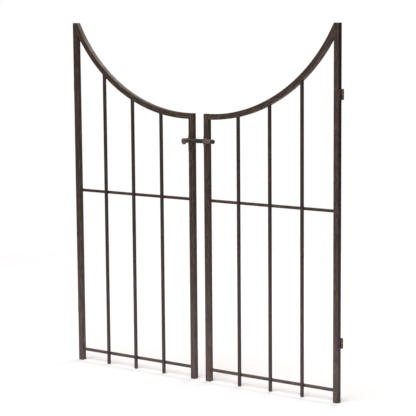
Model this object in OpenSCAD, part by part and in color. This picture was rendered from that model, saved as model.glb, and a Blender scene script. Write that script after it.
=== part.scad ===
// Double-leaf steel garden gate with swept top rails, barrel hinges and a slide bolt.
// Lengths are in millimetres. +X runs to the right leaf, +Y to the back and +Z up.
// The origin is on the ground, midway between the leaves, on the centre plane of the stiles.

/* [Gate] */
// Width over the outer faces of the two hinge stiles
gate_w = 1524; // [1200:1:1800]
// Height of the hinge stiles
gate_h = 1676; // [1500:1:1900]
// Gap between the two latch stiles
leaf_gap = 62; // [40:1:70]
// Height of the latch stiles
latch_stile_h = 1259; // [1200:1:1350]

/* [Steel sections] */
// Side of the square tube in the stiles and the top rails
tube = 26; // [24:0.1:30]
// Wall of the square tube
tube_wall = 1.6; // [1.2:0.1:1.7]
// Outer corner radius of the square tube
tube_corner = 2; // [1.8:0.1:3]
// Side of the square bar in the uprights and the lower rails
bar = 12.7; // [8:0.1:13]
// Corner radius of the square bar
bar_corner = 1; // [0.5:0.1:2]

/* [Lower rails and uprights] */
// Height of the middle of the mid rail
mid_rail_z = 856; // [700:1:1000]
// Height of the middle of the bottom rail
bottom_rail_z = 53; // [40:1:120]
// Uprights in each leaf
bars_per_leaf = 3; // [2:1:4]
// Height of the lower ends of the uprights
bar_foot_z = 3; // [0:1:20]

/* [Hinges] */
// Height of the middle of the upper hinges
upper_hinge_z = 1367; // [1200:1:1450]
// Height of the middle of the lower hinges
lower_hinge_z = 269; // [180:1:400]
// Length of a whole hinge
hinge_len = 50; // [46:1:60]
// Radius of the hinge barrel
barrel_r = 6; // [5.5:0.1:6]
// Radius of the hinge pin
hinge_pin_r = 3; // [2.5:0.1:3.5]
// Distance from the hinge stile's outer face to the hinge axis
hinge_out = 7; // [7:0.5:10]
// Distance from the stile's centre plane back to the hinge axis
hinge_back = 9; // [8:0.5:11]

/* [Latch] */
// Height of the bolt's axis
bolt_z = 1134; // [1115:1:1160]
// Radius of the bolt
bolt_r = 10.2; // [9.8:0.1:10.2]
// Right end of the bolt when it is shut
bolt_tip_x = 100; // [98:1:110]
// Left end of the bolt when it is shut
bolt_tail_x = -57; // [-60:1:-56]
// Thickness of the latch plate and of the keeper plate
plate_t = 2; // [2:0.1:2.5]

/* [Hidden] */
$fn = 64;
fine_fn = 720;                       // facets of the large rail arcs
sweep_corner_fn = 12;                // each corner of the swept tube is three flats
SIDES = ["left", "right"];
LEVELS = ["upper", "lower"];

half_w = gate_w / 2;
half_tube = tube / 2;
tube_bore = tube - 2 * tube_wall;
bore_corner = tube_corner - tube_wall;
gap_x = leaf_gap / 2;                // latch stile's face on the gap
latch_in_x = gap_x + tube;           // latch stile's inner face
hinge_in_x = half_w - tube;          // hinge stile's inner face

// The top rail's upper edge is an arc. It leaves the latch stile level
// and meets the hinge stile at that stile's top inner corner.
sweep_w = hinge_in_x - latch_in_x;
sweep_h = gate_h - latch_stile_h;
arc_r = (sweep_w * sweep_w + sweep_h * sweep_h) / (2 * sweep_h);
arc_z = latch_stile_h + arc_r;

// The mitre runs from the latch stile's top outer corner to its inner face.
mitre_top_z = arc_z - sqrt(arc_r * arc_r - tube * tube);
mitre_low_z = latch_stile_h - tube;
rail_low_z = mitre_low_z - 60;       // below every part of the top rail

cap_t = 2;                           // steel cap on the hinge stile
foot_t = 3;                          // flange of the plastic foot plug
foot_spigot_h = 14;
foot_wall = 2;
clear_bar_gap = (sweep_w - bars_per_leaf * bar) / (bars_per_leaf + 1);

washer_t = 1.5;
half_hinge = hinge_len / 2;
hinge_play = 0.05;                   // end play above the washer
pin_gap = 0.06;                      // running clearance round the pin
pin_reach = half_hinge - barrel_r;   // pin ends level with the barrel's straight part
pin_chamfer = 0.6;
weld_flat = 5.3;                     // axis to the flat that is welded to the post
pad_t = 3;                           // hinge pad welded to the stile
pad_y = [-9, 12];                    // front and back edges of the pad
pad_z = [-22, 20];                   // lower and upper edges of the pad
pad_notch_y = -1;                    // the pad's lower part stops here

front_y = -half_tube;
plate_front_y = front_y - plate_t;
bolt_gap = 0.3;                      // bolt to plate
bolt_y = plate_front_y - bolt_gap - bolt_r;
bolt_tip_round = 4;
guide_gap = 0.1;                     // running clearance in the guide
guide_wall = 1.9;
guide_r = bolt_r + guide_gap + guide_wall;
guide_x = [-53.7, -33.7];
plate_w = 24;
plate_corner = 4;
plate_x = gap_x + half_tube;         // centre line of a latch stile
latch_plate_z = [1084, 1161];
latch_screw_z = [1090.5, 1154];
keeper_plate_z = [1107, 1161];
keeper_screw_z = [1114, 1154];
keeper_x = [40, 55.7];
keeper_gap = 0.4;                    // bolt to each jaw
jaw_t = 3.5;
jaw_reach = 5;                       // jaw beyond the bolt's axis
screw_r = 2.4;
screw_head_r = 4.2;
screw_head_h = 2.6;
screw_slot = [1, 1];                 // width and depth of the driver slot
screw_tail = 2;                      // thread past the tube's wall
stop_pin_r = 2;
stop_pin_x = 66;
stop_pin_proud = 1.6;
neck_r = 9.7;
knob_r = 12;
knob_x = -73.5;
knob_drop = 2;                       // knob's centre below the bolt's axis
knob_low_r = 11.5;                   // knob's fuller lower end
knob_low_drop = 6.5;                 // its centre below the knob's centre

LEAF_PARTS = concat(
    ["hinge_stile", "hinge_stile_cap", "hinge_stile_foot", "latch_stile", "latch_stile_foot",
     "top_rail", "mid_rail", "bottom_rail"],
    [for (i = [1 : bars_per_leaf]) str("bar_", i)]);
HINGE_PARTS = ["hinge_barrel", "hinge_post_half", "hinge_pin", "hinge_washer"];
LATCH_PARTS = ["latch_plate", "latch_plate_screws", "bolt_guide", "bolt", "bolt_handle",
    "bolt_stop_pin", "keeper_plate", "keeper_plate_screws", "keeper_jaws"];

FRAME_COLOR = "#3f3733";
HARDWARE_COLOR = "#4a4440";

function hinge_z(level) = level == "upper" ? upper_hinge_z : lower_hinge_z;
function bar_x(i) = latch_in_x + i * clear_bar_gap + (i - 0.5) * bar;

// ---- shared shapes ----

// Puts a right-hand part on its own side of the gate.
module on_side(side) {
    mirror([side == "left" ? 1 : 0, 0, 0])
        children();
}

// A box given by its lowest and highest corners.
module box(low, high) {
    translate(low)
        cube(high - low);
}

// A flat shape drawn in X and Z, reaching from y0 to y1.
module in_xz(y0, y1) {
    translate([0, y1, 0])
        rotate([90, 0, 0])
            linear_extrude(y1 - y0)
                children();
}

// A flat square with round corners, centred on the origin.
module round_square(side, r, fn = $fn) {
    for (dx = [-1, 1], dy = [-1, 1])
        translate([dx * (side / 2 - r), dy * (side / 2 - r)])
            circle(r = r, $fn = fn);
    square([side, side - 2 * r], center = true);
    square([side - 2 * r, side], center = true);
}

// The outline of the square tube.
module tube_outline(fn = $fn) {
    difference() {
        round_square(tube, tube_corner, fn);
        round_square(tube_bore, bore_corner, fn);
    }
}

// An upright prism centred on x, from z0 to z1, of the flat shape given.
module upright_prism(x, z0, z1) {
    translate([x, 0, z0])
        linear_extrude(z1 - z0)
            children();
}

// A cylinder along Y, from y0 back to y1.
module rod_y(r, x, y0, y1, z) {
    translate([x, y1, z])
        rotate([90, 0, 0])
            cylinder(r = r, h = y1 - y0);
}

// A cylinder along X, from x0 to x1, on the bolt's axis.
module rod_on_bolt(r, x0, x1) {
    translate([x0, bolt_y, bolt_z])
        rotate([0, 90, 0])
            cylinder(r = r, h = x1 - x0);
}

// ---- leaf frame, drawn for the right leaf ----

module hinge_stile(side) {
    color(FRAME_COLOR)
        on_side(side)
            upright_prism(half_w - half_tube, foot_t, gate_h - cap_t)
                tube_outline();
}

module hinge_stile_cap(side) {
    color(FRAME_COLOR)
        on_side(side)
            upright_prism(half_w - half_tube, gate_h - cap_t, gate_h)
                round_square(tube, tube_corner);
}

// Plastic plug that closes the foot of a tube centred on x.
module foot_plug(x) {
    upright_prism(x, 0, foot_t)
        round_square(tube, tube_corner);
    upright_prism(x, foot_t, foot_spigot_h)
        difference() {
            round_square(tube_bore, bore_corner);
            square(tube_bore - 2 * foot_wall, center = true);
        }
}

module hinge_stile_foot(side) {
    color("#26231f")
        on_side(side)
            foot_plug(half_w - half_tube);
}

module latch_stile_foot(side) {
    color("#26231f")
        on_side(side)
            foot_plug(plate_x);
}

// Everything above the mitre line at the top of the latch stile.
module above_mitre() {
    in_xz(-tube, tube)
        polygon([[gap_x - tube, mitre_top_z + mitre_top_z - mitre_low_z],
                 [latch_in_x + tube, mitre_low_z + mitre_low_z - mitre_top_z],
                 [latch_in_x + tube, gate_h], [gap_x - tube, gate_h]]);
}

module latch_stile(side) {
    screw_z = side == "left" ? latch_screw_z : keeper_screw_z;
    color(FRAME_COLOR)
        on_side(side)
            difference() {
                upright_prism(plate_x, foot_t, mitre_top_z + 1)
                    tube_outline();
                above_mitre();
                for (z = screw_z)
                    rod_y(screw_r, plate_x, front_y - 1, front_y + tube_wall + 1, z);
            }
}

// The swept tube is part of a ring, cut at the mitre and at the hinge stile. Its front and
// back are alike, so half a turn about Z puts it on the left leaf.
module top_rail(side) {
    color(FRAME_COLOR)
        rotate([0, 0, side == "left" ? 180 : 0])
            intersection() {
                translate([latch_in_x, 0, arc_z])
                    rotate([90, 0, 0])
                        rotate_extrude($fn = fine_fn)
                            translate([arc_r + half_tube, 0])
                                tube_outline(sweep_corner_fn);
                in_xz(-tube, tube)
                    polygon([[gap_x, mitre_top_z], [latch_in_x, mitre_low_z],
                             [latch_in_x, rail_low_z], [hinge_in_x, rail_low_z],
                             [hinge_in_x, gate_h + tube], [gap_x, gate_h + tube]]);
            }
}

// A square bar across the leaf, behind the uprights.
module cross_rail(side, z) {
    color(FRAME_COLOR)
        on_side(side)
            translate([latch_in_x, bar / 2, z])
                rotate([90, 0, 90])
                    linear_extrude(sweep_w)
                        round_square(bar, bar_corner);
}

module mid_rail(side) {
    cross_rail(side, mid_rail_z);
}

module bottom_rail(side) {
    cross_rail(side, bottom_rail_z);
}

// An upright, cut to the underside of the top rail. Number 1 is next to the latch stile.
module upright(side, i) {
    x = bar_x(i);
    color(FRAME_COLOR)
        on_side(side)
            difference() {
                translate([0, -bar / 2, 0])
                    upright_prism(x, bar_foot_z, gate_h)
                        round_square(bar, bar_corner);
                translate([latch_in_x, tube, arc_z])
                    rotate([90, 0, 0])
                        cylinder(r = arc_r + tube, h = 2 * tube, $fn = fine_fn);
            }
}

// ---- hinges, drawn for the right leaf ----

// Places a hinge part drawn round its own axis, with the joint between the halves at z = 0.
module on_hinge(side, level) {
    on_side(side)
        translate([half_w + hinge_out, hinge_back, hinge_z(level)])
            children();
}

// A barrel half with a round nose, standing on z0.
module bullet(z0) {
    translate([0, 0, z0])
        cylinder(r = barrel_r, h = half_hinge - barrel_r - z0);
    translate([0, 0, half_hinge - barrel_r])
        intersection() {
            sphere(r = barrel_r);
            cylinder(r = barrel_r + 1, h = barrel_r + 1);
        }
}

// The half on the leaf: a blind barrel and the pad that carries it.
module hinge_barrel(side, level) {
    seat_z = washer_t / 2 + hinge_play;
    color(HARDWARE_COLOR)
        on_hinge(side, level)
            difference() {
                union() {
                    bullet(seat_z);
                    difference() {
                        box([-hinge_out, pad_y[0] - hinge_back, pad_z[0]],
                            [pad_t - hinge_out, pad_y[1] - hinge_back, pad_z[1]]);
                        box([-hinge_out - 1, pad_notch_y - hinge_back, pad_z[0] - 1],
                            [pad_t - hinge_out + 1, pad_y[1], seat_z]);
                    }
                }
                translate([0, 0, -1])
                    cylinder(r = hinge_pin_r + pin_gap, h = pin_reach + 2);
            }
}

// The half on the post: a blind barrel with a flat on its outer side for the weld.
module hinge_post_half(side, level) {
    color(HARDWARE_COLOR)
        on_hinge(side, level)
            difference() {
                mirror([0, 0, 1])
                    bullet(washer_t / 2);
                translate([0, 0, -pin_reach])
                    cylinder(r = hinge_pin_r, h = pin_reach + 1);
                box([weld_flat, -barrel_r - 1, -half_hinge - 1], [barrel_r + 1, barrel_r + 1, 0]);
            }
}

module hinge_pin(side, level) {
    color("silver")
        on_hinge(side, level)
            translate([0, 0, -pin_reach])
                rotate_extrude()
                    polygon([[0, 0], [hinge_pin_r, 0], [hinge_pin_r, 2 * pin_reach - pin_chamfer],
                             [hinge_pin_r - pin_chamfer, 2 * pin_reach], [0, 2 * pin_reach]]);
}

module hinge_washer(side, level) {
    color("goldenrod")
        on_hinge(side, level)
            difference() {
                translate([0, 0, -washer_t / 2])
                    cylinder(r = barrel_r, h = washer_t);
                translate([0, 0, -washer_t])
                    cylinder(r = hinge_pin_r + pin_gap, h = 2 * washer_t);
            }
}

// ---- latch, with the bolt on the left leaf and the keeper on the right ----

// A round-cornered plate on the front of a latch stile centred on x, with two screw holes.
module stile_plate(x, z_range, screw_z) {
    in_xz(plate_front_y, front_y)
        difference() {
            union() {
                for (dx = [-1, 1], z = [z_range[0] + plate_corner, z_range[1] - plate_corner])
                    translate([x + dx * (plate_w / 2 - plate_corner), z])
                        circle(r = plate_corner);
                translate([x - plate_w / 2, z_range[0] + plate_corner])
                    square([plate_w, z_range[1] - z_range[0] - 2 * plate_corner]);
                translate([x - plate_w / 2 + plate_corner, z_range[0]])
                    square([plate_w - 2 * plate_corner, z_range[1] - z_range[0]]);
            }
            for (z = screw_z)
                translate([x, z])
                    circle(r = screw_r);
        }
}

// A slotted screw through a plate into the front wall of the stile.
module plate_screw(x, z) {
    rod_y(screw_r, x, plate_front_y, front_y + tube_wall + screw_tail, z);
    difference() {
        rod_y(screw_head_r, x, plate_front_y - screw_head_h, plate_front_y, z);
        box([x - screw_head_r - 1, plate_front_y - screw_head_h - 1, z - screw_slot[0] / 2],
            [x + screw_head_r + 1, plate_front_y - screw_head_h + screw_slot[1], z + screw_slot[0] / 2]);
    }
}

module latch_plate() {
    color(HARDWARE_COLOR)
        stile_plate(-plate_x, latch_plate_z, latch_screw_z);
}

module latch_plate_screws() {
    color("dimgray")
        for (z = latch_screw_z)
            plate_screw(-plate_x, z);
}

module keeper_plate() {
    color(HARDWARE_COLOR)
        stile_plate(plate_x, keeper_plate_z, keeper_screw_z);
}

module keeper_plate_screws() {
    color("dimgray")
        for (z = keeper_screw_z)
            plate_screw(plate_x, z);
}

// A closed loop on the latch plate that the bolt slides in.
module bolt_guide() {
    color(HARDWARE_COLOR)
        difference() {
            union() {
                rod_on_bolt(guide_r, guide_x[0], guide_x[1]);
                box([guide_x[0], bolt_y, bolt_z - guide_r], [guide_x[1], plate_front_y, bolt_z + guide_r]);
            }
            rod_on_bolt(bolt_r + guide_gap, guide_x[0] - 1, guide_x[1] + 1);
            box([guide_x[0] - 1, plate_front_y, bolt_z - guide_r - 1],
                [guide_x[1] + 1, 0, bolt_z + guide_r + 1]);
        }
}

// Two jaws above and below the bolt, open to the front.
module keeper_jaws() {
    color("#7a6a5c")
        for (up = [0, 1])
            translate([0, 0, bolt_z])
                mirror([0, 0, up])
                    translate([0, 0, bolt_r + keeper_gap])
                        box([keeper_x[0], bolt_y - jaw_reach, 0], [keeper_x[1], plate_front_y, jaw_t]);
}

// The round bolt, with a rounded tip and a cross hole for its stop pin.
module bolt() {
    bolt_len = bolt_tip_x - bolt_tail_x;
    round_from = bolt_len - bolt_tip_round;
    flat_r = bolt_r - bolt_tip_round;
    color(HARDWARE_COLOR)
        difference() {
            translate([bolt_tail_x, bolt_y, bolt_z])
                rotate([0, 90, 0])
                    rotate_extrude()
                        intersection() {
                            union() {
                                square([bolt_r, round_from]);
                                square([flat_r, bolt_len]);
                                translate([flat_r, round_from])
                                    circle(r = bolt_tip_round);
                            }
                            square([bolt_r, bolt_len]);
                        }
            rod_y(stop_pin_r, stop_pin_x, bolt_y - bolt_r - 1, bolt_y, bolt_z);
        }
}

// The pin stops the bolt at the guide when the bolt is drawn.
module bolt_stop_pin() {
    color("silver")
        rod_y(stop_pin_r, stop_pin_x, bolt_y - bolt_r - stop_pin_proud, bolt_y, bolt_z);
}

// A short, stout knob that hangs a little below the bolt.
module bolt_handle() {
    color(HARDWARE_COLOR) {
        rod_on_bolt(neck_r, knob_x, bolt_tail_x);
        translate([knob_x, bolt_y, bolt_z - knob_drop]) {
            sphere(r = knob_r);
            translate([0, 0, -knob_low_drop])
                sphere(r = knob_low_r);
        }
    }
}

// ---- the gate ----

for (side = SIDES) {
    hinge_stile(side);
    hinge_stile_cap(side);
    hinge_stile_foot(side);
    latch_stile(side);
    latch_stile_foot(side);
    top_rail(side);
    mid_rail(side);
    bottom_rail(side);
    for (i = [1 : bars_per_leaf])
        upright(side, i);
    for (level = LEVELS) {
        hinge_barrel(side, level);
        hinge_post_half(side, level);
        hinge_pin(side, level);
        hinge_washer(side, level);
    }
}
latch_plate();
latch_plate_screws();
bolt_guide();
bolt();
bolt_handle();
bolt_stop_pin();
keeper_plate();
keeper_plate_screws();
keeper_jaws();
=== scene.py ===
# A double-leaf metal garden gate with a hand-rubbed dark bronze finish. Lengths are in metres.
import math

import bmesh
import bpy
from mathutils import Matrix, Vector, noise


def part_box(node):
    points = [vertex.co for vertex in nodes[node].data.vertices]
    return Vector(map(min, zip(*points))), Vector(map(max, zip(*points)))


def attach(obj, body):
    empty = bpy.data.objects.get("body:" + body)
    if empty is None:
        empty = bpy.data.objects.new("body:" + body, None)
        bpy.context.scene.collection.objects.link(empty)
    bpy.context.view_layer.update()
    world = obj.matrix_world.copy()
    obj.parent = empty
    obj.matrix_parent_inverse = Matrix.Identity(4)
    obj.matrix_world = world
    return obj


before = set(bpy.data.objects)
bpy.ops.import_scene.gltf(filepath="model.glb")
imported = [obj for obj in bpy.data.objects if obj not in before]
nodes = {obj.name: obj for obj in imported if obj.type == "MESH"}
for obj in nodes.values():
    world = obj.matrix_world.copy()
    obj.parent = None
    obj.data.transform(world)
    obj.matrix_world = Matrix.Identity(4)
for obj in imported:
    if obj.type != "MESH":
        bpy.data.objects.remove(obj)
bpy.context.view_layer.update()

SIDES = ("left", "right")
LEVELS = ("upper", "lower")
BARS = (1, 2, 3)
LATCH_STILE_HEIGHT = 1.259


def sweep_arc():
    """The arc of the right leaf's top rail: X and Z of its centre, and the radius of its upper side."""
    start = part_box("right_latch_stile")[1].x
    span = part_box("right_hinge_stile")[0].x - start
    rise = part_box("right_hinge_stile_cap")[1].z - LATCH_STILE_HEIGHT
    radius = (span * span + rise * rise) / (2.0 * rise)
    return start, LATCH_STILE_HEIGHT + radius, radius


# ---- camera ----

def make_camera():
    """A long lens at eye height, well to the right of the gate's front."""
    azimuth = math.radians(36.74)
    elevation = math.radians(7.38)
    roll = math.radians(-0.46)
    distance = 7.099
    target = Vector((0.0441, 0.0, 0.8215))
    backward = Vector((math.sin(azimuth) * math.cos(elevation),
                       -math.cos(azimuth) * math.cos(elevation),
                       math.sin(elevation)))
    level_right = Vector((math.cos(azimuth), math.sin(azimuth), 0.0))
    level_up = backward.cross(level_right)
    right = math.cos(roll) * level_right + math.sin(roll) * level_up
    up = math.cos(roll) * level_up - math.sin(roll) * level_right
    data = bpy.data.cameras.new("camera")
    data.sensor_width = 36.0
    data.lens = 132.2
    camera = bpy.data.objects.new("camera", data)
    turn = Matrix((right, up, backward)).transposed().to_4x4()
    camera.matrix_world = Matrix.Translation(target + distance * backward) @ turn
    bpy.context.scene.collection.objects.link(camera)
    bpy.context.scene.camera = camera


make_camera()


# ---- materials ----

class Nodes:
    """Short calls for building one material's nodes."""

    def __init__(self, name):
        self.material = bpy.data.materials.new(name)
        self.material.use_nodes = True
        self.tree = self.material.node_tree
        self.shader = self.tree.nodes["Principled BSDF"]
        coordinates = self.tree.nodes.new("ShaderNodeTexCoord")
        self.place = coordinates.outputs["Object"]
        self.facing = coordinates.outputs["Normal"]

    def link(self, source, target):
        self.tree.links.new(source, target)

    def feed(self, name, value):
        """Link an output to one of the shader's sockets."""
        self.link(value, self.shader.inputs[name])

    def set(self, **values):
        """Set the shader's own sockets. An underscore stands for a space in a socket's name."""
        for name, value in values.items():
            self.shader.inputs[name.replace("_", " ")].default_value = value

    def noise(self, scale, detail, roughness, stretch=(1.0, 1.0, 1.0)):
        """Noise on the piece; stretch scales the pattern along X, Y and Z."""
        mapping = self.tree.nodes.new("ShaderNodeMapping")
        mapping.inputs["Scale"].default_value = stretch
        self.link(self.place, mapping.inputs["Vector"])
        node = self.tree.nodes.new("ShaderNodeTexNoise")
        node.inputs["Scale"].default_value = scale
        node.inputs["Detail"].default_value = detail
        node.inputs["Roughness"].default_value = roughness
        self.link(mapping.outputs["Vector"], node.inputs["Vector"])
        return node.outputs["Fac"]

    def between(self, value, low, high, becomes=(0.0, 1.0)):
        """low..high of value becomes the two numbers given, clamped. low may be the greater one."""
        node = self.tree.nodes.new("ShaderNodeMapRange")
        node.inputs["From Min"].default_value = low
        node.inputs["From Max"].default_value = high
        node.inputs["To Min"].default_value = becomes[0]
        node.inputs["To Max"].default_value = becomes[1]
        self.link(value, node.inputs["Value"])
        return node.outputs["Result"]

    def calculate(self, operation, first, second):
        """first is an output, and second is an output or a number."""
        node = self.tree.nodes.new("ShaderNodeMath")
        node.operation = operation
        self.link(first, node.inputs[0])
        if isinstance(second, float):
            node.inputs[1].default_value = second
        else:
            self.link(second, node.inputs[1])
        return node.outputs["Value"]

    def times(self, first, second):
        return self.calculate("MULTIPLY", first, second)

    def mix(self, share, first, second):
        """first where share is 0 and second where it is 1. Each is a colour or an output."""
        node = self.tree.nodes.new("ShaderNodeMix")
        node.data_type = "RGBA"
        self.link(share, node.inputs["Factor"])
        for name, value in (("A", first), ("B", second)):
            socket = next(s for s in node.inputs if s.name == name and s.type == "RGBA")
            if isinstance(value, tuple):
                socket.default_value = (*value, 1.0)
            else:
                self.link(value, socket)
        return next(s for s in node.outputs if s.type == "RGBA")

    def vector_math(self, operation, vector, amount=(0.0, 0.0, 0.0)):
        """The result is a number for LENGTH and a vector for the other operations."""
        node = self.tree.nodes.new("ShaderNodeVectorMath")
        node.operation = operation
        self.link(vector, node.inputs[0])
        node.inputs[1].default_value = amount
        return node.outputs["Value" if operation == "LENGTH" else "Vector"]

    def split(self, vector):
        """The outputs X, Y and Z of a vector."""
        node = self.tree.nodes.new("ShaderNodeSeparateXYZ")
        self.link(vector, node.inputs["Vector"])
        return node.outputs

    def join(self, **parts):
        """A vector from outputs for X, Y and Z. One that isn't given is 0."""
        node = self.tree.nodes.new("ShaderNodeCombineXYZ")
        for letter, value in parts.items():
            self.link(value, node.inputs[letter])
        return node.outputs["Vector"]

    def across(self):
        """Distance to the right of the gate's middle."""
        return self.split(self.place)["X"]

    def height(self):
        """Height above the ground."""
        return self.split(self.place)["Z"]

    def corners(self):
        """1 along the rounded corners of a bar that lies in the leaf's plane, 0 on its flats."""
        front = self.split(self.facing)["Y"]
        depth = self.times(front, front)
        rest = self.between(depth, 0.0, 1.0, becomes=(1.0, 0.0))
        return self.between(self.times(depth, rest), 0.06, 0.22)

    def outer_side(self):
        """1 on faces that look away from the gate's middle, towards a post, and 0 elsewhere."""
        leaf_sign = self.between(self.across(), -0.001, 0.001, becomes=(-1.0, 1.0))
        outward = self.times(self.split(self.facing)["X"], leaf_sign)
        return self.between(outward, 0.5, 0.9)

    def follow_sweep(self):
        """From here on, lay the patterns along the top rail's arc, on both leaves."""
        centre_x, centre_z, radius = sweep_arc()
        mirrored = self.vector_math("ABSOLUTE", self.place)
        from_centre = self.split(self.vector_math("SUBTRACT", mirrored, (centre_x, 0.0, centre_z)))
        turn = self.calculate("ARCTAN2", from_centre["Z"], from_centre["X"])
        distance = self.vector_math("LENGTH", self.join(X=from_centre["X"], Z=from_centre["Z"]))
        self.place = self.join(X=self.times(turn, radius), Y=from_centre["Y"], Z=distance)

    def bump(self, *layers):
        """Each layer is (value, distance in metres)."""
        normal = None
        for value, distance in layers:
            node = self.tree.nodes.new("ShaderNodeBump")
            node.inputs["Strength"].default_value = 1.0
            node.inputs["Distance"].default_value = distance
            self.link(value, node.inputs["Height"])
            if normal is not None:
                self.link(normal, node.inputs["Normal"])
            normal = node.outputs["Normal"]
        self.feed("Normal", normal)


def srgb(red, green, blue):
    """A colour as a screen shows it, 0 to 255, as linear values."""
    return tuple(((c / 255 + 0.055) / 1.055) ** 2.4 if c > 10 else c / 255 / 12.92
                 for c in (red, green, blue))


# Heights above the ground. The pale ground tones, partly dust and partly painted floor-bounce light, thin
# out from the first to the second.
DUST_AND_BOUNCE_FULL = 0.1
DUST_AND_BOUNCE_TOP = 0.72
# Painted shade: the side that faces a post is painted dark above the second of these heights, and hardly
# darker below the first.
PAINTED_SHADE_LOW = 0.22
PAINTED_SHADE_HIGH = 0.4
PAINTED_SHADE_DARK = srgb(20, 16, 13)
# How quickly a pale band ends.
BAND_FADE = 0.003


def bronze(name, brown, olive, mauve, dust_and_bounce_warm, dust_and_bounce_cool, wear_and_highlight, grain, wear_and_highlight_share=0.5, band=None, swept=False,
           outer_side_painted_shade=False):
    """Dark bronze paint rubbed by hand.

    brown, olive and mauve are its tones. Its two tones near the ground, one warm and one bluish, are partly
    dust and partly painted floor-bounce light. Its wear colour shows where it is rubbed, and along its
    corners, where that is partly wear and partly a painted highlight. grain stretches the rubbing along a
    bar. band is a stretch of X painted pale, partly as rubbing and partly as a painted highlight: its left
    end, right end and colour. swept lays the pattern along the top rail's arc. The painted-shade flag is for
    stiles beside a post: the side that faces it gets less of the pale ground tone, and painted shade darkens
    it."""
    n = Nodes(name)
    height = n.height()
    if swept:
        n.follow_sweep()
    drift = n.noise(scale=3.1, detail=4.0, roughness=0.55)
    patches = n.noise(scale=44.0, detail=4.0, roughness=0.6, stretch=grain)
    cloud = n.noise(scale=72.0, detail=3.0, roughness=0.55, stretch=grain)
    streaks = n.noise(scale=150.0, detail=4.0, roughness=0.65, stretch=grain)
    specks = n.noise(scale=420.0, detail=2.0, roughness=0.5)

    tone = n.mix(n.between(patches, 0.44, 0.56), brown, olive)
    tone = n.mix(n.between(cloud, 0.5, 0.6), tone, mauve)
    # Paler towards the ground: partly dust and partly painted light bounced up from the floor.
    dust = n.between(height, DUST_AND_BOUNCE_TOP, DUST_AND_BOUNCE_FULL, becomes=(0.0, 0.92))
    dust = n.times(dust, n.between(drift, 0.3, 0.62, becomes=(0.7, 1.0)))
    # Painted shade: the side that faces a post gets much less of the pale ground tone, so it stays darker.
    if outer_side_painted_shade:
        dust = n.times(dust, n.between(n.outer_side(), 0.0, 1.0, becomes=(1.0, 0.15)))
    ground = n.mix(n.between(cloud, 0.45, 0.57), dust_and_bounce_warm, dust_and_bounce_cool)
    tone = n.mix(dust, tone, ground)
    rubbed = n.times(n.between(streaks, 0.5, 0.66), n.between(drift, 0.35, 0.6, becomes=(0.45, 1.0)))
    tone = n.mix(n.times(rubbed, wear_and_highlight_share), tone, wear_and_highlight)
    # Paler along the rounded corners: partly wear and partly a painted highlight.
    edge_wear_and_highlight = n.times(n.corners(), n.between(streaks, 0.35, 0.6, becomes=(0.25, 0.8)))
    tone = n.mix(n.times(edge_wear_and_highlight, wear_and_highlight_share), tone, wear_and_highlight)
    # A pale band: partly rubbing and partly a painted highlight.
    if band is not None:
        left, right, pale = band
        x = n.across()
        share = n.times(n.between(x, left, left + BAND_FADE), n.between(x, right, right - BAND_FADE))
        tone = n.mix(n.times(share, n.between(streaks, 0.3, 0.6, becomes=(0.45, 1.0))), tone, pale)
    # Painted shade: the side that faces a post is painted dark, most above the higher of the two heights.
    if outer_side_painted_shade:
        share = n.between(height, PAINTED_SHADE_LOW, PAINTED_SHADE_HIGH, becomes=(0.15, 0.75))
        tone = n.mix(n.times(n.outer_side(), share), tone, PAINTED_SHADE_DARK)
    n.feed("Base Color", tone)

    n.feed("Roughness", n.between(streaks, 0.3, 0.75, becomes=(0.6, 0.38)))
    n.set(IOR=1.45, Specular_IOR_Level=0.32)
    n.bump((streaks, 0.00025), (specks, 0.00012))
    return n.material


def bare_metal(name, colour, stained, roughness, grain):
    """Turned or rubbed metal with fine marks and some stain. The marks make it rougher in places."""
    n = Nodes(name)
    marks = n.noise(scale=900.0, detail=3.0, roughness=0.6, stretch=grain)
    stain = n.noise(scale=130.0, detail=4.0, roughness=0.6)
    n.feed("Base Color", n.mix(n.between(stain, 0.42, 0.68), colour, stained))
    n.feed("Roughness", n.between(marks, 0.3, 0.7, becomes=(roughness - 0.08, roughness + 0.12)))
    n.set(Metallic=1.0)
    n.bump((marks, 0.00008), (stain, 0.00006))
    return n.material


def foot_plastic(name):
    """Dark moulded plastic, scuffed, with dust on its lowest 4 mm."""
    n = Nodes(name)
    scuffs = n.noise(scale=240.0, detail=5.0, roughness=0.65)
    moulded = n.noise(scale=1500.0, detail=2.0, roughness=0.5)
    dust = n.between(n.height(), 0.004, 0.0, becomes=(0.15, 0.6))
    dust = n.times(dust, n.between(scuffs, 0.35, 0.65))
    n.feed("Base Color", n.mix(dust, srgb(38, 34, 31), srgb(96, 88, 84)))
    n.feed("Roughness", n.between(scuffs, 0.3, 0.7, becomes=(0.5, 0.75)))
    n.bump((scuffs, 0.0001), (moulded, 0.00004))
    return n.material


UPRIGHT_GRAIN = (1.0, 1.0, 0.16)
LEVEL_GRAIN = (0.16, 1.0, 1.0)
EVEN_GRAIN = (1.0, 1.0, 1.0)
TURNED_GRAIN = (1.0, 1.0, 4.0)
FRAME_TONES = {
    "brown": srgb(58, 42, 31), "olive": srgb(46, 41, 30), "mauve": srgb(52, 38, 42),
    "dust_and_bounce_warm": srgb(86, 71, 63), "dust_and_bounce_cool": srgb(65, 57, 65), "wear_and_highlight": srgb(120, 99, 86),
}
BAR_TONES = {
    "brown": srgb(46, 34, 28), "olive": srgb(40, 34, 28), "mauve": srgb(48, 34, 39),
    "dust_and_bounce_warm": srgb(68, 56, 57), "dust_and_bounce_cool": srgb(58, 49, 56), "wear_and_highlight": srgb(92, 74, 70),
}
BOLT_TONES = {
    "brown": srgb(36, 29, 27), "olive": srgb(33, 31, 27), "mauve": srgb(42, 31, 35),
    "dust_and_bounce_warm": srgb(36, 29, 27), "dust_and_bounce_cool": srgb(36, 29, 27), "wear_and_highlight": srgb(84, 70, 64),
}
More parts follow.
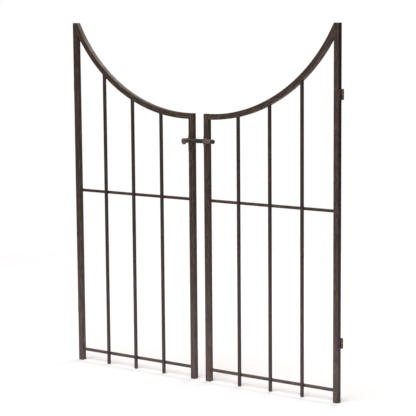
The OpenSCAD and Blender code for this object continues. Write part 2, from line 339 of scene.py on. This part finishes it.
KNOB_TONES = {
    "brown": srgb(58, 44, 42), "olive": srgb(51, 42, 37), "mauve": srgb(64, 48, 52),
    "dust_and_bounce_warm": srgb(58, 44, 42), "dust_and_bounce_cool": srgb(58, 44, 42), "wear_and_highlight": srgb(128, 106, 96),
}
KEEPER_TONES = {
    "brown": srgb(96, 80, 70), "olive": srgb(84, 72, 59), "mauve": srgb(102, 84, 78),
    "dust_and_bounce_warm": srgb(96, 80, 70), "dust_and_bounce_cool": srgb(96, 80, 70), "wear_and_highlight": srgb(158, 138, 124),
}
# The bolt is painted pale from the keeper's left edge to this X, near its tip: partly rubbing and partly a
# painted highlight.
PALE_END = 0.088
PALE_BAND = (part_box("keeper_jaws")[0].x, PALE_END, srgb(98, 82, 73))

upright_paint = bronze("upright_paint", grain=UPRIGHT_GRAIN, **FRAME_TONES)
hinge_stile_paint = bronze("hinge_stile_paint", grain=UPRIGHT_GRAIN, outer_side_painted_shade=True, **FRAME_TONES)
bar_paint = bronze("bar_paint", grain=UPRIGHT_GRAIN, **BAR_TONES)
level_paint = bronze("level_paint", grain=LEVEL_GRAIN, **FRAME_TONES)
sweep_paint = bronze("sweep_paint", grain=LEVEL_GRAIN, swept=True, **FRAME_TONES)
hardware_paint = bronze("hardware_paint", grain=EVEN_GRAIN, wear_and_highlight_share=0.7, **FRAME_TONES)
weld_paint = bronze("weld_paint", grain=EVEN_GRAIN, wear_and_highlight_share=0.35, **FRAME_TONES)
bolt_paint = bronze("bolt_paint", grain=LEVEL_GRAIN, band=PALE_BAND, **BOLT_TONES)
knob_paint = bronze("knob_paint", grain=EVEN_GRAIN, wear_and_highlight_share=0.8, **KNOB_TONES)
keeper_paint = bronze("keeper_paint", grain=EVEN_GRAIN, wear_and_highlight_share=0.8, **KEEPER_TONES)
pin_steel = bare_metal("pin_steel", colour=(0.42, 0.4, 0.38), stained=(0.2, 0.17, 0.15), roughness=0.34,
                       grain=TURNED_GRAIN)
screw_steel = bare_metal("screw_steel", colour=(0.2, 0.175, 0.155), stained=(0.09, 0.07, 0.06),
                         roughness=0.42, grain=EVEN_GRAIN)
washer_brass = bare_metal("washer_brass", colour=(0.52, 0.38, 0.16), stained=(0.24, 0.17, 0.09),
                          roughness=0.4, grain=EVEN_GRAIN)
foot_material = foot_plastic("foot_plastic")


def cover(node, material):
    """Give a CAD node its material."""
    mesh = nodes[node].data
    mesh.materials.clear()
    mesh.materials.append(material)


for side in SIDES:
    cover(f"{side}_latch_stile", upright_paint)
    for part in ("hinge_stile", "hinge_stile_cap"):
        cover(f"{side}_{part}", hinge_stile_paint)
    for part in ("hinge_stile_foot", "latch_stile_foot"):
        cover(f"{side}_{part}", foot_material)
    for number in BARS:
        cover(f"{side}_bar_{number}", bar_paint)
    for part in ("mid_rail", "bottom_rail"):
        cover(f"{side}_{part}", level_paint)
    cover(f"{side}_top_rail", sweep_paint)
    for level in LEVELS:
        cover(f"{side}_{level}_hinge_barrel", hardware_paint)
        cover(f"{side}_{level}_hinge_post_half", hardware_paint)
        cover(f"{side}_{level}_hinge_pin", pin_steel)
        cover(f"{side}_{level}_hinge_washer", washer_brass)
for part in ("latch_plate", "bolt_guide", "keeper_plate"):
    cover(part, hardware_paint)
cover("bolt", bolt_paint)
cover("bolt_handle", knob_paint)
cover("keeper_jaws", keeper_paint)
cover("bolt_stop_pin", pin_steel)
for part in ("latch_plate_screws", "keeper_plate_screws"):
    cover(part, screw_steel)


# ---- weld beads ----

# A leaf's beads are laid out for the right leaf and mirrored for the left one. In each function, off is how
# far a bead's middle line stands off the metal, and inset how far it stops short of an edge.

RING_STEP = 0.0006
RING_SIDES = 8
CORNER = 0.0015
CORNER_STEPS = 4
# A bead's ripples, lumps and sways: the length of one or how many to a metre, and their share of its radius.
RIPPLE = 0.0018
RIPPLE_SHARE = 0.14
LUMPS_PER_METRE = 260.0
LUMP_SHARE = 0.3
SWAYS_PER_METRE = 190.0
SWAY_SHARE = 0.2
X_AXIS = Vector((1.0, 0.0, 0.0))
Y_AXIS = Vector((0.0, 1.0, 0.0))
Z_AXIS = Vector((0.0, 0.0, 1.0))


def spaced(path, closed):
    """Points RING_STEP apart along a line through the given points."""
    stops = path + path[:1] if closed else path
    points = []
    spare = 0.0
    for start, end in zip(stops, stops[1:]):
        run = (end - start).length
        while spare < run:
            points.append(start.lerp(end, spare / run))
            spare += RING_STEP
        spare -= run
    return points


def add_bead(work, path, radius, seed, plane, closed=False):
    """A rippled, uneven bead of weld along path. plane is a direction that the path never takes."""
    points = spaced(path, closed)
    count = len(points)
    rings = []
    for i, point in enumerate(points):
        before = points[i - 1] if closed or i > 0 else point
        after = points[(i + 1) % count] if closed or i < count - 1 else point
        along = (after - before).normalized()
        out = (plane - plane.dot(along) * along).normalized()
        across = along.cross(out)
        walked = i * RING_STEP
        ripple = 0.5 - (walked / RIPPLE) % 1.0
        lump = noise.noise(Vector((walked * LUMPS_PER_METRE, seed, 0.0)))
        size = radius * (1.0 + RIPPLE_SHARE * ripple + LUMP_SHARE * lump)
        if not closed:
            reach = min(i + 1, count - i) * RING_STEP
            size *= math.sqrt(1.0 - (1.0 - min(reach / radius, 1.0)) ** 2)
        sway = SWAY_SHARE * radius * noise.noise(Vector((walked * SWAYS_PER_METRE, seed, 7.0)))
        ring = []
        for k in range(RING_SIDES):
            turn = 2.0 * math.pi * k / RING_SIDES
            spot = point + (size * math.cos(turn) + sway) * out + size * math.sin(turn) * across
            ring.append(work.verts.new(spot))
        rings.append(ring)
    joins = zip(rings, rings[1:] + rings[:1]) if closed else zip(rings, rings[1:])
    for first, second in joins:
        for k in range(RING_SIDES):
            m = (k + 1) % RING_SIDES
            work.faces.new((first[k], first[m], second[m], second[k]))
    if not closed:
        work.faces.new(reversed(rings[0]))
        work.faces.new(rings[-1])


def rounded_loop(low, high):
    """Points round a rectangle from low to high, whose corners are rounded."""
    points = []
    for corner, (side_u, side_v) in enumerate(((1, 1), (-1, 1), (-1, -1), (1, -1))):
        centre_u = high[0] - CORNER if side_u > 0 else low[0] + CORNER
        centre_v = high[1] - CORNER if side_v > 0 else low[1] + CORNER
        for step in range(CORNER_STEPS + 1):
            turn = (corner + step / CORNER_STEPS) * math.pi / 2
            points.append((centre_u + CORNER * math.cos(turn), centre_v + CORNER * math.sin(turn)))
    return points


def weld_rail_ends(work, seed):
    """Round both ends of the mid rail and of the bottom rail."""
    off = 0.0005
    back_off = 0.0001
    for part in ("mid_rail", "bottom_rail"):
        low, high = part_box(f"right_{part}")
        loop = rounded_loop((low.y - off, low.z - off), (high.y - back_off, high.z + off))
        for x in (low.x + off, high.x - off):
            seed += 1.0
            path = [Vector((x, y, z)) for y, z in loop]
            add_bead(work, path, 0.0018, seed, X_AXIS, closed=True)


def weld_crossings(work, seed):
    """Above and below each rail where an upright crosses it."""
    off = 0.0004
    inset = 0.0012
    for number in BARS:
        bar_low, bar_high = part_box(f"right_bar_{number}")
        y = bar_high.y + off
        for part in ("mid_rail", "bottom_rail"):
            low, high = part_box(f"right_{part}")
            for z in (low.z - off, high.z + off):
                seed += 1.0
                ends = [Vector((bar_low.x + inset, y, z)), Vector((bar_high.x - inset, y, z))]
                add_bead(work, ends, 0.0014, seed, Z_AXIS)


def sweep_underside(x):
    """Height of the top rail's underside at x."""
    centre_x, centre_z, radius = sweep_arc()
    low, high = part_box("right_latch_stile")
    tube = high.x - low.x
    return centre_z - math.sqrt((radius + tube) ** 2 - (x - centre_x) ** 2)


def weld_uprights(work, seed):
    """Round each upright's top, under the top rail."""
    off = 0.0005
    front_off = 0.0003
    for number in BARS:
        low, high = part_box(f"right_bar_{number}")
        loop = rounded_loop((low.x - off, low.y - front_off), (high.x + off, high.y + off))
        seed += 1.0
        path = [Vector((x, y, sweep_underside(x) - off)) for x, y in loop]
        add_bead(work, path, 0.0017, seed, Z_AXIS, closed=True)


def weld_top_rail(work, seed):
    """A thick bead in the crotch under the rail's upper end, and a seam up that end's front and back."""
    low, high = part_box("right_hinge_stile")
    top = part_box("right_hinge_stile_cap")[1].z
    foot = sweep_underside(low.x)
    x = low.x - 0.0012
    z = foot - 0.0022
    inset = 0.002
    crotch = [Vector((x, low.y + inset, z)), Vector((x, high.y - inset, z))]
    add_bead(work, crotch, 0.0032, seed, Z_AXIS)
    x = low.x + 0.0004
    seam_inset = 0.001
    top_inset = 0.003
    for y in (low.y + seam_inset, high.y - seam_inset):
        seed += 1.0
        seam = [Vector((x, y, foot)), Vector((x, y, top - top_inset))]
        add_bead(work, seam, 0.0014, seed, Y_AXIS)


def weld_mitre(work, seed):
    """Along the mitre between the latch stile and the top rail, in front and behind."""
    low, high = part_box("right_latch_stile")
    outer_inset = 0.0012
    inner_inset = 0.0008
    depth_inset = 0.0009
    outer = (low.x + outer_inset, high.z - outer_inset)
    inner_low = LATCH_STILE_HEIGHT - (high.x - low.x)
    inner = (high.x - inner_inset, inner_low + inner_inset)
    for y in (low.y + depth_inset, high.y - depth_inset):
        seed += 1.0
        seam = [Vector((x, y, z)) for x, z in (outer, inner)]
        add_bead(work, seam, 0.0013, seed, Y_AXIS)


def weld_hinge_pads(work, seed):
    """Along the top, the front and the bottom of each hinge's pad."""
    off = 0.0004
    pad_above_middle = 0.02
    top_run_back = 0.008
    bottom_run_back = -0.0028
    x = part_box("right_hinge_stile")[1].x + off
    for level in LEVELS:
        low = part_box(f"right_{level}_hinge_barrel")[0]
        pin_low, pin_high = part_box(f"right_{level}_hinge_pin")
        front = low.y - off
        top = (pin_low.z + pin_high.z) / 2 + pad_above_middle + off
        bottom = low.z - off
        outline = ((top_run_back, top), (front + CORNER, top), (front, top - CORNER),
                   (front, bottom + CORNER), (front + CORNER, bottom), (bottom_run_back, bottom))
        seed += 1.0
        path = [Vector((x, y, z)) for y, z in outline]
        add_bead(work, path, 0.0014, seed, X_AXIS)


def weld_latch_part(work, plate, part, seed):
    """Above and below a part that stands on the front of its plate."""
    off = 0.0003
    inset = 0.001
    low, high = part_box(part)
    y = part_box(plate)[0].y - off
    for z in (low.z - off, high.z + off):
        seed += 1.0
        ends = [Vector((low.x + inset, y, z)), Vector((high.x - inset, y, z))]
        add_bead(work, ends, 0.0012, seed, Z_AXIS)


def finish_weld(work, name, body, mirrored=False):
    """Turn the beads into a piece that rides on body. mirrored takes them to the left leaf."""
    if mirrored:
        for vert in work.verts:
            vert.co.x = -vert.co.x
    bmesh.ops.recalc_face_normals(work, faces=work.faces)
    for face in work.faces:
        face.smooth = True
    mesh = bpy.data.meshes.new(name)
    work.to_mesh(mesh)
    work.free()
    mesh.materials.append(weld_paint)
    piece = bpy.data.objects.new(name, mesh)
    bpy.context.scene.collection.objects.link(piece)
    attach(piece, body)


LEAF_WELDS = (
    ("rail_end_welds", weld_rail_ends),
    ("crossing_welds", weld_crossings),
    ("upright_welds", weld_uprights),
    ("top_rail_welds", weld_top_rail),
    ("mitre_welds", weld_mitre),
    ("hinge_pad_welds", weld_hinge_pads),
)
LATCH_WELDS = (("latch_plate", "bolt_guide", "left_leaf"), ("keeper_plate", "keeper_jaws", "right_leaf"))
# Seeds for the beads' unevenness: one more for each bead, from these.
LEAF_SEEDS = {"left": 0.0, "right": 40.0}
LATCH_SEED = 90.0

for side in SIDES:
    for name, weld in LEAF_WELDS:
        work = bmesh.new()
        weld(work, LEAF_SEEDS[side])
        finish_weld(work, f"{side}_{name}", f"{side}_leaf", mirrored=side == "left")
for plate, part, body in LATCH_WELDS:
    work = bmesh.new()
    weld_latch_part(work, plate, part, LATCH_SEED)
    finish_weld(work, f"{part}_welds", body)


# ---- floor, light and world ----

def make_floor(radius):
    """A round pale floor, standing for a sweep of studio paper."""
    paper = Nodes("floor")
    paper.set(Base_Color=(0.78, 0.78, 0.78, 1.0), Roughness=0.9)
    mesh = bpy.data.meshes.new("floor")
    work = bmesh.new()
    bmesh.ops.create_circle(work, cap_ends=True, segments=96, radius=radius)
    work.to_mesh(mesh)
    work.free()
    mesh.materials.append(paper.material)
    floor = bpy.data.objects.new("floor", mesh)
    bpy.context.scene.collection.objects.link(floor)


def soft_sun(azimuth, elevation, strength, spread):
    """A wide, even light from far away. azimuth turns from the front towards +X, in degrees."""
    data = bpy.data.lights.new("sun", "SUN")
    data.energy = strength
    data.angle = math.radians(spread)
    light = bpy.data.objects.new("sun", data)
    level = math.cos(math.radians(elevation))
    towards = Vector((math.sin(math.radians(azimuth)) * level,
                      -math.cos(math.radians(azimuth)) * level,
                      math.sin(math.radians(elevation))))
    light.rotation_euler = towards.to_track_quat("Z", "Y").to_euler()
    bpy.context.scene.collection.objects.link(light)


def area_light(name, place, aim, width, height, power, colour=(1.0, 1.0, 1.0)):
    """A rectangular lamp at place, turned towards aim, that isn't seen itself."""
    data = bpy.data.lights.new(name, "AREA")
    data.shape = "RECTANGLE"
    data.size = width
    data.size_y = height
    data.energy = power
    data.color = colour
    light = bpy.data.objects.new(name, data)
    light.location = place
    light.rotation_euler = (Vector(aim) - Vector(place)).to_track_quat("-Z", "Y").to_euler()
    light.visible_camera = False
    bpy.context.scene.collection.objects.link(light)


def make_world(low, high):
    """Light from all round, low at the horizon and below and high overhead, before a white backdrop."""
    world = bpy.data.worlds.new("studio")
    world.use_nodes = True
    tree = world.node_tree
    tree.nodes.clear()
    coordinates = tree.nodes.new("ShaderNodeTexCoord")
    split = tree.nodes.new("ShaderNodeSeparateXYZ")
    ramp = tree.nodes.new("ShaderNodeMapRange")
    ramp.interpolation_type = "SMOOTHSTEP"
    ramp.inputs["From Min"].default_value = -0.05
    ramp.inputs["From Max"].default_value = 0.6
    ramp.inputs["To Min"].default_value = low
    ramp.inputs["To Max"].default_value = high
    soft = tree.nodes.new("ShaderNodeBackground")
    soft.inputs["Color"].default_value = (0.97, 0.96, 1.0, 1.0)
    backdrop = tree.nodes.new("ShaderNodeBackground")
    backdrop.inputs["Color"].default_value = (1.0, 1.0, 1.0, 1.0)
    backdrop.inputs["Strength"].default_value = 1.0
    path = tree.nodes.new("ShaderNodeLightPath")
    mix = tree.nodes.new("ShaderNodeMixShader")
    out = tree.nodes.new("ShaderNodeOutputWorld")
    tree.links.new(coordinates.outputs["Generated"], split.inputs["Vector"])
    tree.links.new(split.outputs["Z"], ramp.inputs["Value"])
    tree.links.new(ramp.outputs["Result"], soft.inputs["Strength"])
    tree.links.new(path.outputs["Is Camera Ray"], mix.inputs["Fac"])
    tree.links.new(soft.outputs["Background"], mix.inputs[1])
    tree.links.new(backdrop.outputs["Background"], mix.inputs[2])
    tree.links.new(mix.outputs["Shader"], out.inputs["Surface"])
    bpy.context.scene.world = world


bpy.context.scene.view_settings.view_transform = "Standard"
make_floor(radius=4.0)
make_world(low=0.12, high=0.6)
soft_sun(azimuth=4.0, elevation=57.0, strength=2.15, spread=50.0)
area_light("near_front", place=(0.6, -2.1, 1.3), aim=(0.0, 0.0, 0.9), width=1.2, height=2.2, power=12.0)
area_light("high_back", place=(-0.35, 3.3, 3.9), aim=(-0.4, 0.0, 1.4), width=2.2, height=2.0, power=95.0,
           colour=(1.0, 0.84, 0.74))
